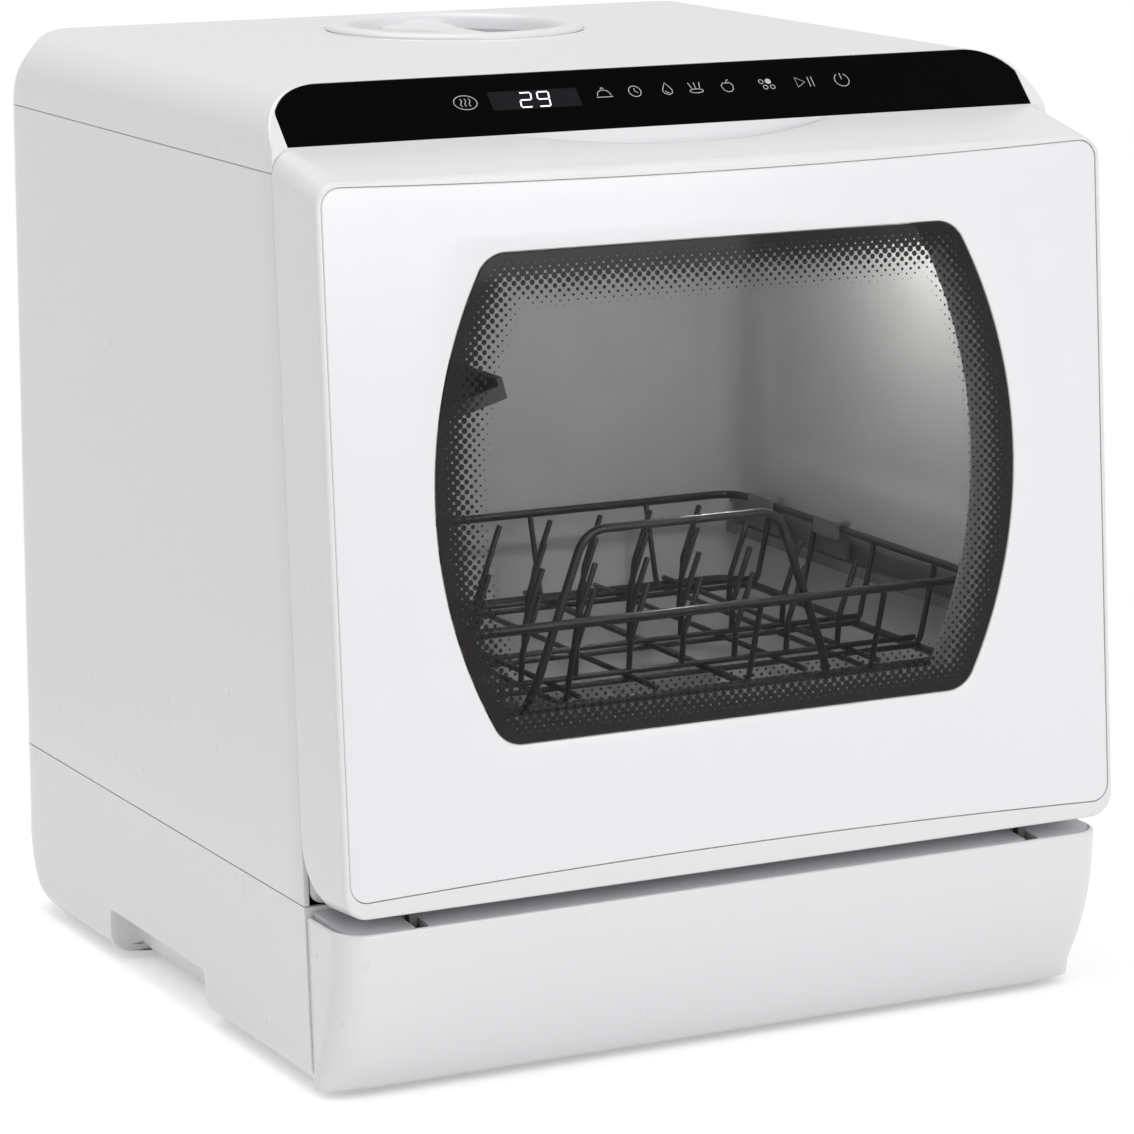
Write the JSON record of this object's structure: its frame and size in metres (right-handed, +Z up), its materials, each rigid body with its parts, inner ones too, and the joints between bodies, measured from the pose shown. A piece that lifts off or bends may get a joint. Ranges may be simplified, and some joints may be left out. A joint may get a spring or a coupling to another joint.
{
  "type": "countertop dishwasher",
  "caption": "Countertop dishwasher with a leaning drop-down door, a tinted window, a slide-out wire rack with a hinged cup shelf, spray arms and a filling cap on top.",
  "frame": {"origin": "centre of the footprint, on the surface the feet stand on", "axes": "+Z up, -Y out of the door's front, +X to the right seen from the front"},
  "size_m": [0.42, 0.422, 0.4717],
  "materials": {
    "shell_white": "moulded white plastic, satin gloss",
    "door_white": "painted white front plate, satin gloss",
    "panel_white": "moulded white plastic, satin gloss",
    "ledge_grey": "moulded mid grey plastic",
    "tinted_glass": "dark tinted glass with a printed border",
    "clear_glass": "clear glass",
    "fascia_black": "glossy black touch panel",
    "display_dark": "dark display",
    "circuit_green": "coated circuit board",
    "tub_grey": "smooth light grey plastic",
    "seal_rubber": "soft grey rubber",
    "foot_rubber": "black rubber",
    "rail_grey": "slippery grey plastic",
    "wire_coated": "steel wire with a black coating",
    "shelf_grey": "moulded grey plastic",
    "arm_grey": "moulded grey plastic",
    "filter_steel": "perforated stainless steel",
    "pump_dark": "dark moulded plastic",
    "steel": "plain steel",
    "tank_clear": "translucent white plastic",
    "lamp_lens": "milky lens",
    "float_orange": "coloured float"
  },
  "bodies": {
    "cabinet": {"base_tray": "panel_white", "front_skirt": "shell_white", "hinge_ledge": "ledge_grey", "rubber_feet": "foot_rubber", "left_panel": "panel_white", "right_panel": "panel_white", "back_panel": "panel_white", "top_cover": "shell_white", "control_fascia": "fascia_black", "display_module": "display_dark", "touch_board": "circuit_green", "tub": "tub_grey", "tub_seal": "seal_rubber", "rack_rails": "rail_grey", "tub_lamp": "lamp_lens", "sump": "pump_dark", "filter_plate": "filter_steel", "arm_hub": "arm_grey", "circulation_pump": "pump_dark", "drain_pump": "pump_dark", "flow_heater": "steel", "water_tank": "tank_clear", "fill_funnel": "rail_grey", "feed_pipe": "arm_grey", "drying_fan": "pump_dark", "main_board": "circuit_green", "float_switch": "float_orange", "drain_port": "pump_dark", "inlet_port": "shelf_grey", "cord_gland": "foot_rubber", "latch_catch": "pump_dark", "hinge_bracket_left": "steel", "hinge_bracket_right": "steel", "casing_screws": "steel"},
    "door": {"door_shell": "shell_white", "front_plate": "door_white", "outer_pane": "tinted_glass", "inner_pane": "clear_glass", "door_liner": "tub_grey", "hinge_pins": "steel", "latch_hook": "pump_dark", "dispenser_body": "rail_grey"},
    "rack": {"rack_frame": "wire_coated", "rack_tines": "wire_coated", "rack_arch": "wire_coated", "rack_glides": "rail_grey", "shelf_bracket": "wire_coated"},
    "dispenser_lid": {"dispenser_lid": "shelf_grey"},
    "cup_shelf": {"cup_shelf": "shelf_grey"},
    "lower_spray_arm": {"lower_spray_arm": "arm_grey"},
    "upper_spray_arm": {"upper_spray_arm": "arm_grey"},
    "filter_cup": {"filter_cup": "filter_steel"},
    "fill_cap": {"fill_cap": "shell_white"}
  },
  "joints": [
    {"name": "door_hinge", "type": "hinge", "parent": "cabinet", "child": "door", "pos_m": [0, -0.20116, 0.09895], "axis": [1, 0, 0], "range_deg": [0, 94.5]},
    {"name": "rack_slide", "type": "slide", "parent": "cabinet", "child": "rack", "axis": [0, -1, 0], "range_m": [0, 0.139]},
    {"name": "dispenser_slide", "type": "slide", "parent": "door", "child": "dispenser_lid", "axis": [1, 0, 0], "range_m": [0, 0.038]},
    {"name": "shelf_hinge", "type": "hinge", "parent": "rack", "child": "cup_shelf", "pos_m": [-0.172, -0.034, 0.286], "axis": [0, -1, 0], "range_deg": [0, 60]},
    {"name": "lower_arm_spin", "type": "hinge", "parent": "cabinet", "child": "lower_spray_arm", "pos_m": [0, -0.005, 0.127], "axis": [0, 0, 1], "continuous": true},
    {"name": "upper_arm_spin", "type": "hinge", "parent": "cabinet", "child": "upper_spray_arm", "pos_m": [0, 0, 0.394], "axis": [0, 0, 1], "continuous": true},
    {"name": "filter_twist", "type": "hinge", "parent": "cabinet", "child": "filter_cup", "pos_m": [0, -0.065, 0.09], "axis": [0, 0, 1], "range_deg": [0, 60]},
    {"name": "cap_lift", "type": "slide", "parent": "cabinet", "child": "fill_cap", "axis": [0, 0, 1], "range_m": [0, 0.06]}
  ],
  "couplings": [
    {"joint": "rack_slide", "follows": "door_hinge", "m_per_rad": 0.084}
  ]
}
